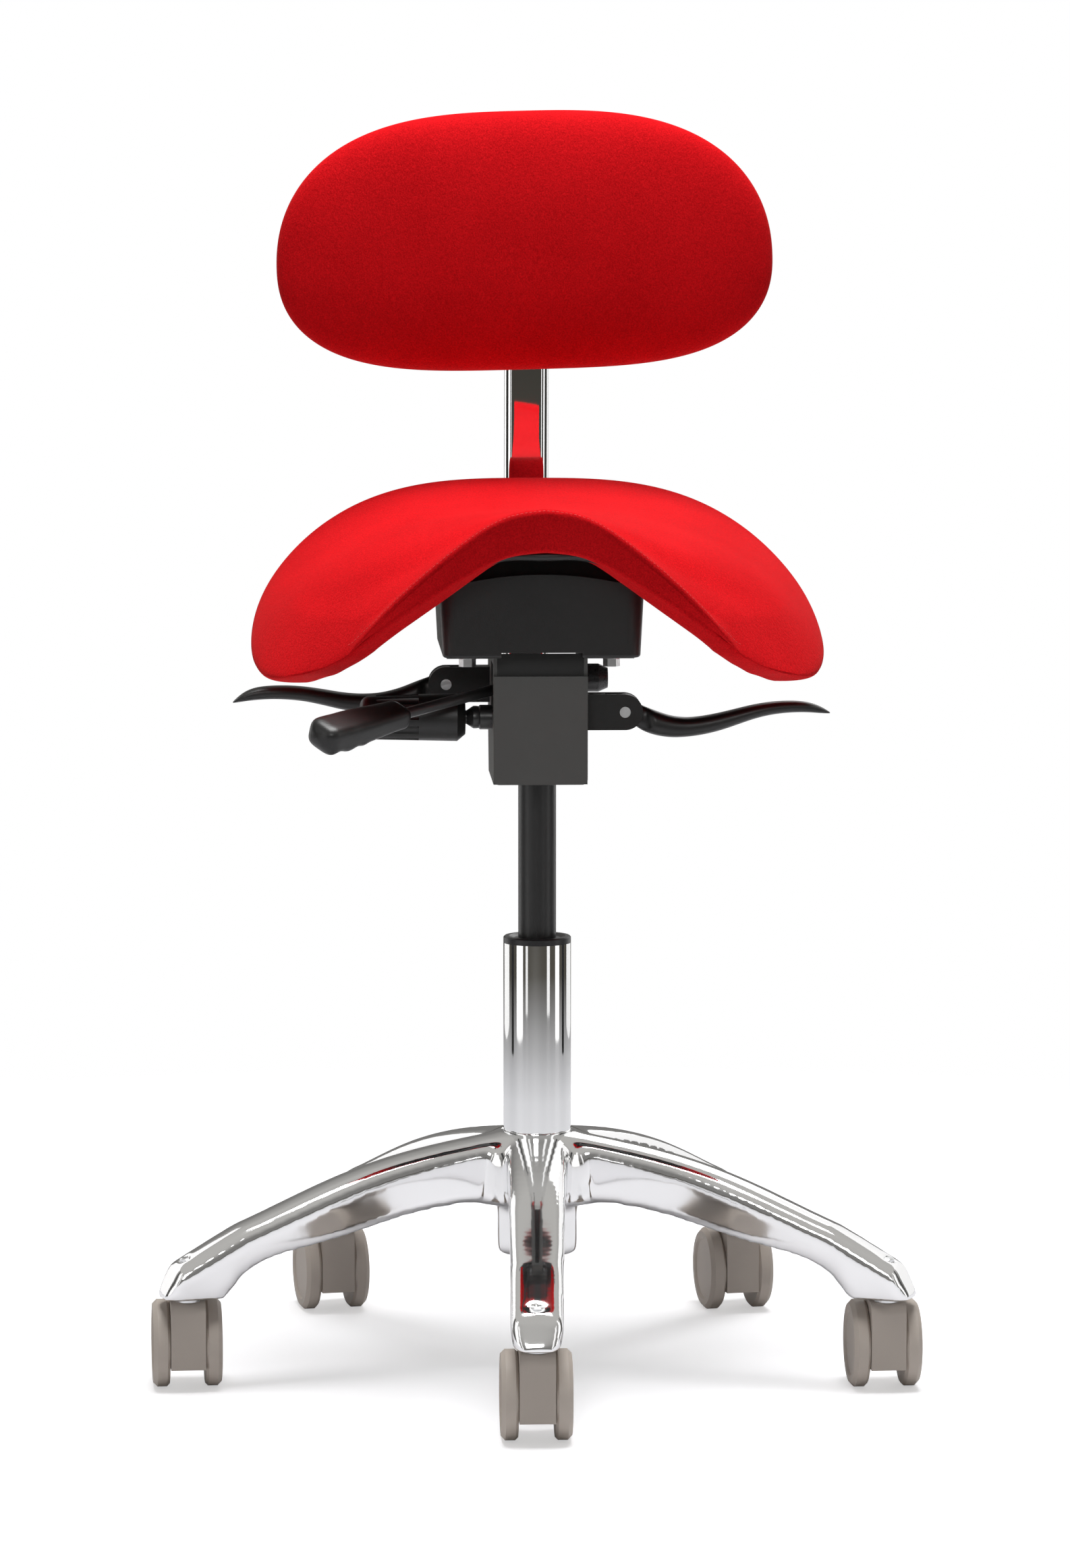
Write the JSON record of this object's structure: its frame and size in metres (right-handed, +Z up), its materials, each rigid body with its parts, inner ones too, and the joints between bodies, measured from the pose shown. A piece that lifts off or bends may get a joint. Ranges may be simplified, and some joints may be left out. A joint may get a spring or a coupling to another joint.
{
  "type": "saddle stool",
  "caption": "Saddle stool with red upholstered saddle seat and small backrest on a gas-lift column, star base and twin-wheel castors.",
  "frame": {"origin": "on the floor under the axis of the column", "axes": "+Z up, -Y the way the sitter faces, +X to the right of someone who looks at the stool's front"},
  "size_m": [0.5627, 0.5658, 0.934],
  "materials": {
    "polished_aluminium": "polished",
    "chrome": "polished",
    "black_guide": "satin",
    "black_steel": "satin",
    "black_rod": "satin",
    "bright_steel": "satin",
    "dark_coat": "satin",
    "black_plastic": "satin",
    "taupe_plastic": "satin",
    "taupe_wheel": "matte",
    "red_fabric": "matte"
  },
  "bodies": {
    "base": {"star_base": "polished_aluminium", "column_tube": "chrome", "column_guide": "black_guide", "caster_stem_1": "bright_steel", "caster_stem_2": "bright_steel", "caster_stem_3": "bright_steel", "caster_stem_4": "bright_steel", "caster_stem_5": "bright_steel"},
    "caster_1": {"caster_hood_1": "taupe_plastic", "caster_axle_1": "bright_steel"},
    "wheel_1_left": {"caster_wheel_1_left": "taupe_wheel"},
    "wheel_1_right": {"caster_wheel_1_right": "taupe_wheel"},
    "caster_2": {"caster_hood_2": "taupe_plastic", "caster_axle_2": "bright_steel"},
    "wheel_2_left": {"caster_wheel_2_left": "taupe_wheel"},
    "wheel_2_right": {"caster_wheel_2_right": "taupe_wheel"},
    "caster_3": {"caster_hood_3": "taupe_plastic", "caster_axle_3": "bright_steel"},
    "wheel_3_left": {"caster_wheel_3_left": "taupe_wheel"},
    "wheel_3_right": {"caster_wheel_3_right": "taupe_wheel"},
    "caster_4": {"caster_hood_4": "taupe_plastic", "caster_axle_4": "bright_steel"},
    "wheel_4_left": {"caster_wheel_4_left": "taupe_wheel"},
    "wheel_4_right": {"caster_wheel_4_right": "taupe_wheel"},
    "caster_5": {"caster_hood_5": "taupe_plastic", "caster_axle_5": "bright_steel"},
    "wheel_5_left": {"caster_wheel_5_left": "taupe_wheel"},
    "wheel_5_right": {"caster_wheel_5_right": "taupe_wheel"},
    "rod": {"piston_rod": "black_steel", "thrust_bearing": "bright_steel", "rod_clip": "bright_steel"},
    "support": {"gas_cylinder": "black_steel", "taper_socket": "dark_coat", "mechanism_box": "dark_coat", "yoke_pin": "bright_steel"},
    "release": {"release_pin": "black_steel"},
    "height_lever": {"height_lever_rod": "black_rod", "height_lever_grip": "black_plastic"},
    "seat": {"tilt_axle": "black_rod", "seat_bracket": "dark_coat", "bracket_bolts": "bright_steel", "lower_shaft": "black_rod", "left_lever_mount": "black_plastic", "right_lever_mount": "black_plastic", "lever_pins": "bright_steel", "housing": "black_plastic", "seat_plate": "dark_coat", "seat_shell": "black_plastic", "seat_pad": "red_fabric"},
    "tension_knob": {"tension_knob": "black_plastic"},
    "left_lever": {"left_lever": "black_plastic"},
    "right_lever": {"right_lever": "black_plastic"},
    "back_arm": {"back_yoke": "dark_coat", "back_bar": "chrome"},
    "carriage": {"back_carriage": "black_plastic", "pad_pin": "bright_steel"},
    "back_knob": {"back_knob": "black_plastic"},
    "backrest": {"back_shell": "black_plastic", "back_pad": "red_fabric"}
  },
  "joints": [
    {"name": "caster_1_swivel", "type": "hinge", "parent": "base", "child": "caster_1", "pos_m": [-0.01122, -0.26776, 0.066], "axis": [0, 0, 1], "continuous": true},
    {"name": "wheel_1_left_spin", "type": "hinge", "parent": "caster_1", "child": "wheel_1_left", "pos_m": [-0.01122, -0.24976, 0.032], "axis": [1, 0, 0], "continuous": true},
    {"name": "wheel_1_right_spin", "type": "hinge", "parent": "caster_1", "child": "wheel_1_right", "pos_m": [-0.01122, -0.24976, 0.032], "axis": [1, 0, 0], "continuous": true},
    {"name": "caster_2_swivel", "type": "hinge", "parent": "base", "child": "caster_2", "pos_m": [0.25119, -0.09342, 0.066], "axis": [0, 0, 1], "continuous": true},
    {"name": "wheel_2_left_spin", "type": "hinge", "parent": "caster_2", "child": "wheel_2_left", "pos_m": [0.25025, -0.07544, 0.032], "axis": [0.9986, 0.0523, 0], "continuous": true},
    {"name": "wheel_2_right_spin", "type": "hinge", "parent": "caster_2", "child": "wheel_2_right", "pos_m": [0.25025, -0.07544, 0.032], "axis": [0.9986, 0.0523, 0], "continuous": true},
    {"name": "caster_3_swivel", "type": "hinge", "parent": "base", "child": "caster_3", "pos_m": [0.16647, 0.21003, 0.066], "axis": [0, 0, 1], "continuous": true},
    {"name": "wheel_3_left_spin", "type": "hinge", "parent": "caster_3", "child": "wheel_3_left", "pos_m": [0.16319, 0.22773, 0.032], "axis": [0.9833, 0.1822, 0], "continuous": true},
    {"name": "wheel_3_right_spin", "type": "hinge", "parent": "caster_3", "child": "wheel_3_right", "pos_m": [0.16319, 0.22773, 0.032], "axis": [0.9833, 0.1822, 0], "continuous": true},
    {"name": "caster_4_swivel", "type": "hinge", "parent": "base", "child": "caster_4", "pos_m": [-0.14831, 0.22322, 0.066], "axis": [0, 0, 1], "continuous": true},
    {"name": "wheel_4_left_spin", "type": "hinge", "parent": "caster_4", "child": "wheel_4_left", "pos_m": [-0.15174, 0.24089, 0.032], "axis": [0.9816, 0.1908, 0], "continuous": true},
    {"name": "wheel_4_right_spin", "type": "hinge", "parent": "caster_4", "child": "wheel_4_right", "pos_m": [-0.15174, 0.24089, 0.032], "axis": [0.9816, 0.1908, 0], "continuous": true},
    {"name": "caster_5_swivel", "type": "hinge", "parent": "base", "child": "caster_5", "pos_m": [-0.25813, -0.07207, 0.066], "axis": [0, 0, 1], "continuous": true},
    {"name": "wheel_5_left_spin", "type": "hinge", "parent": "caster_5", "child": "wheel_5_left", "pos_m": [-0.25923, -0.0541, 0.032], "axis": [0.9981, 0.061, 0], "continuous": true},
    {"name": "wheel_5_right_spin", "type": "hinge", "parent": "caster_5", "child": "wheel_5_right", "pos_m": [-0.25923, -0.0541, 0.032], "axis": [0.9981, 0.061, 0], "continuous": true},
    {"name": "seat_swivel", "type": "hinge", "parent": "base", "child": "rod", "pos_m": [0, 0, 0.094], "axis": [0, 0, 1], "continuous": true},
    {"name": "seat_lift", "type": "slide", "parent": "rod", "child": "support", "axis": [0, 0, 1], "range_m": [-0.108, 0.022]},
    {"name": "valve_press", "type": "slide", "parent": "support", "child": "release", "axis": [0, 0, -1], "range_m": [0, 0.003]},
    {"name": "height_lever_lift", "type": "hinge", "parent": "support", "child": "height_lever", "pos_m": [-0.01543, -0.01424, 0.512], "axis": [-0.6782, 0.7349, 0], "range_deg": [0, 6], "stiffness_Nm_per_rad": 1},
    {"name": "seat_tilt", "type": "hinge", "parent": "support", "child": "seat", "pos_m": [0, 0.035, 0.512], "axis": [1, 0, 0], "range_deg": [-4.5, 4]},
    {"name": "tension_turn", "type": "hinge", "parent": "seat", "child": "tension_knob", "pos_m": [-0.054, -0.032, 0.489], "axis": [-1, 0, 0], "range_deg": [-720, 720]},
    {"name": "left_lever_lift", "type": "hinge", "parent": "seat", "child": "left_lever", "pos_m": [-0.0664, 0.035, 0.508], "axis": [0, 1, 0], "range_deg": [0, 6], "stiffness_Nm_per_rad": 0.5},
    {"name": "right_lever_lift", "type": "hinge", "parent": "seat", "child": "right_lever", "pos_m": [0.0625, -0.032, 0.493], "axis": [0, -1, 0], "range_deg": [0, 6], "stiffness_Nm_per_rad": 0.5},
    {"name": "back_angle", "type": "hinge", "parent": "support", "child": "back_arm", "pos_m": [0, 0.075, 0.47], "axis": [-1, 0, 0], "range_deg": [-4, 12]},
    {"name": "back_height", "type": "slide", "parent": "back_arm", "child": "carriage", "axis": [0, -0.075, 0.9972], "range_m": [-0.03, 0.03]},
    {"name": "back_knob_turn", "type": "hinge", "parent": "carriage", "child": "back_knob", "pos_m": [0, 0.1904, 0.83426], "axis": [0, 0.9972, 0.075], "range_deg": [-360, 360]},
    {"name": "backrest_tilt", "type": "hinge", "parent": "carriage", "child": "backrest", "pos_m": [0, 0.16198, 0.83213], "axis": [1, 0, 0], "range_deg": [-10, 10]}
  ],
  "couplings": [
    {"joint": "valve_press", "follows": "height_lever_lift", "m_per_rad": 0.0235}
  ]
}
